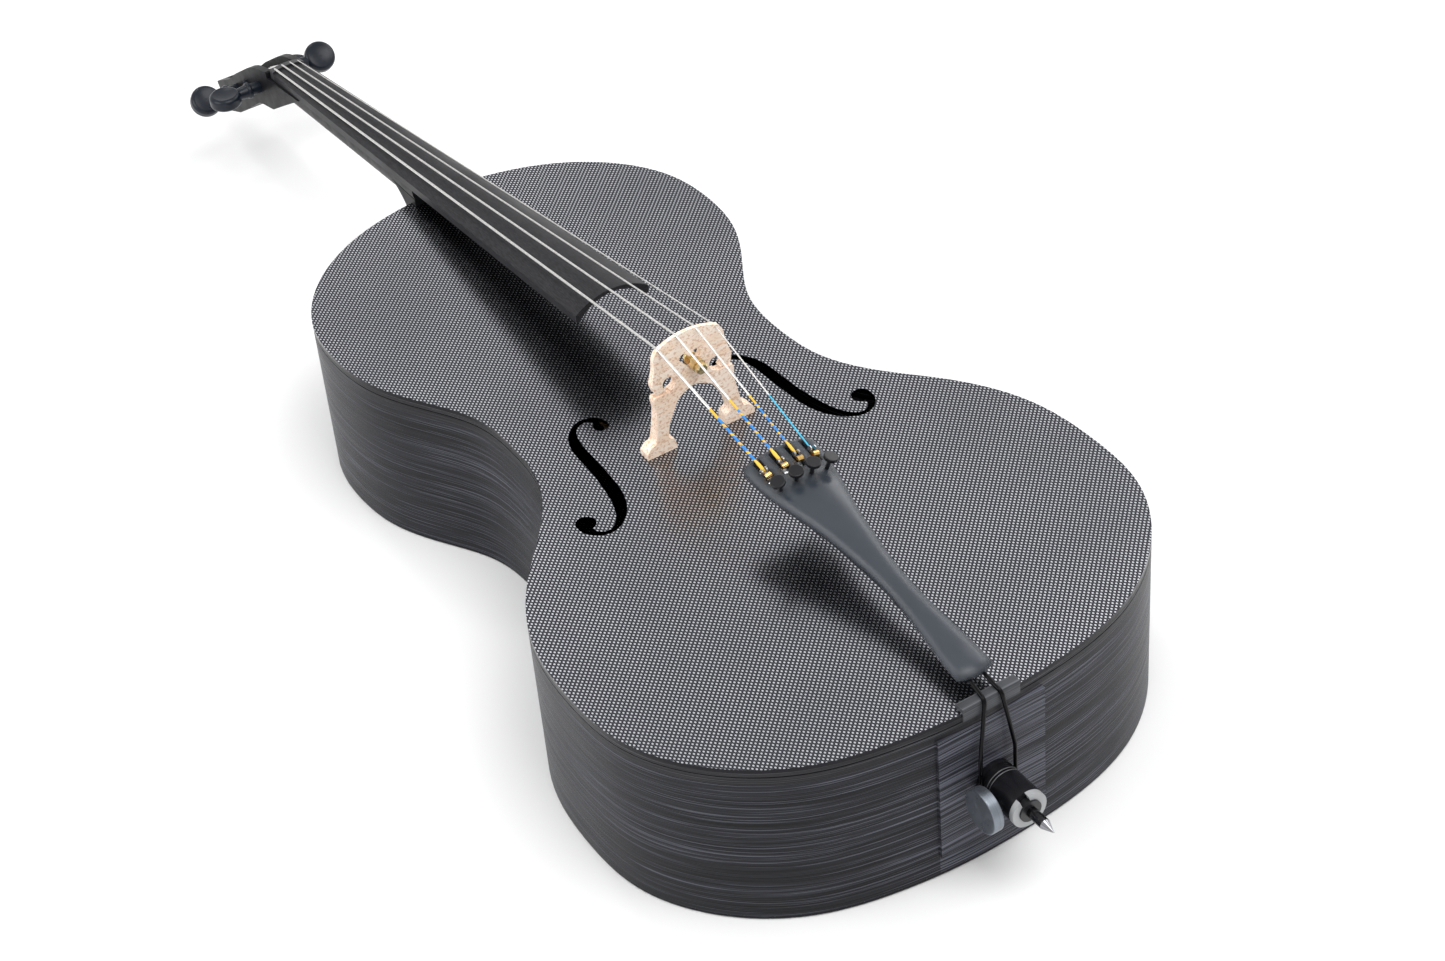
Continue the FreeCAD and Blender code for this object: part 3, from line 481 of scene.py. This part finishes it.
def sleeve(letter, radius):
    """A tapered collar of silk thread round a string, between the bridge and its ball."""
    low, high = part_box("string_ball_" + letter)
    ball = (Vector(low) + Vector(high)) / 2
    across, y, above = STRING_RESTS[letter]
    rest = Vector((across / 1000, along_body(y), (TOP + above) / 1000))
    run = ball - rest
    start = rest + run * ((along_body(SLEEVE_START) - rest.y) / run.y)
    stop = rest + run * ((along_body(SLEEVE_STOP) - rest.y) / run.y)
    turn = run.to_track_quat("Z", "Y")
    mesh = bpy.data.meshes.new("silk_sleeve_" + letter)
    faces = sleeve_faces()
    mesh.from_pydata(sleeve_points(start, turn, (stop - start).length, radius), [], faces)
    mesh.polygons.foreach_set("use_smooth", [len(face) == 4 for face in faces])
    piece = bpy.data.objects.new(mesh.name, mesh)
    bpy.context.scene.collection.objects.link(piece)
    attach(piece, "root")
    return piece


sleeve_skin = satin("sleeve_yellow", (0.82, 0.50, 0.05), 0.55, tint=0.25, grain=2600.0, bump=0.00008)
for letter, radius in SLEEVE_RADII.items():
    paint(sleeve_skin, sleeve(letter, radius))


# ---------------------------------------------------------------- camera, floor and light

# The camera is turned about the vertical, tilted up from straight down, and rolled, in degrees.
CAMERA_PLACE = (-0.8405, -1.6968, 1.5013)
CAMERA_TURN = -29.69
CAMERA_TILT = 50.72
CAMERA_ROLL = -5.34
LENS = 75.34
SENSOR_WIDTH = 36.0

camera = bpy.data.objects.new("camera", bpy.data.cameras.new("camera"))
bpy.context.scene.collection.objects.link(camera)
turned = Matrix.Rotation(math.radians(CAMERA_TURN), 4, "Z")
tilted = Matrix.Rotation(math.radians(CAMERA_TILT), 4, "X")
rolled = Matrix.Rotation(math.radians(CAMERA_ROLL), 4, "Z")
camera.matrix_world = turned @ tilted @ rolled
camera.location = CAMERA_PLACE
camera.data.lens = LENS
camera.data.sensor_width = SENSOR_WIDTH
camera.data.clip_start = 0.01
camera.data.clip_end = 100.0
bpy.context.scene.camera = camera

FLOOR_SIZE = 60
FLOOR_DROP = 0.0002
bpy.ops.mesh.primitive_plane_add(size=FLOOR_SIZE, location=(0, 0, -FLOOR_DROP))
floor = bpy.context.object
floor.name = "floor"
floor_skin = Shader("floor_white", (0.90, 0.90, 0.90), 0.8, specular=0.1)
mottling = floor_skin.noise(3.0, 2.0)
floor_skin.color(floor_skin.mix(mottling, (0.895, 0.895, 0.895), (0.905, 0.905, 0.905)))
floor.data.materials.append(floor_skin.mat)


def softbox(name, place, target, width, height, power):
    light = bpy.data.lights.new(name, "AREA")
    light.shape = "RECTANGLE"
    light.size = width
    light.size_y = height
    light.energy = power
    item = bpy.data.objects.new(name, light)
    bpy.context.scene.collection.objects.link(item)
    item.location = place
    item.rotation_euler = (Vector(target) - Vector(place)).to_track_quat("-Z", "Y").to_euler()


softbox("key", (0.2, -1.2, 2.6), (0, 0, 0.1), 1.6, 1.6, 34.0)
softbox("side", (2.2, 0.2, 1.7), (0, 0, 0.1), 1.8, 1.2, 20.0)
softbox("head", (0.03, 2.0, 2.7), (0, -0.2, 0.1), 0.35, 0.7, 8.0)
softbox("fill", (-2.4, 0.4, 1.6), (0, 0, 0.1), 2.0, 1.4, 34.0)

ROOM_BRIGHTNESS = 0.80
world = bpy.data.worlds.new("studio")
bpy.context.scene.world = world
world.use_nodes = True
background = world.node_tree.nodes["Background"]
background.inputs["Color"].default_value = (1.0, 1.0, 1.0, 1)
background.inputs["Strength"].default_value = ROOM_BRIGHTNESS
bpy.context.scene.view_settings.view_transform = "Standard"
bpy.context.scene.view_settings.look = "None"
bpy.context.scene.view_settings.exposure = 0.0
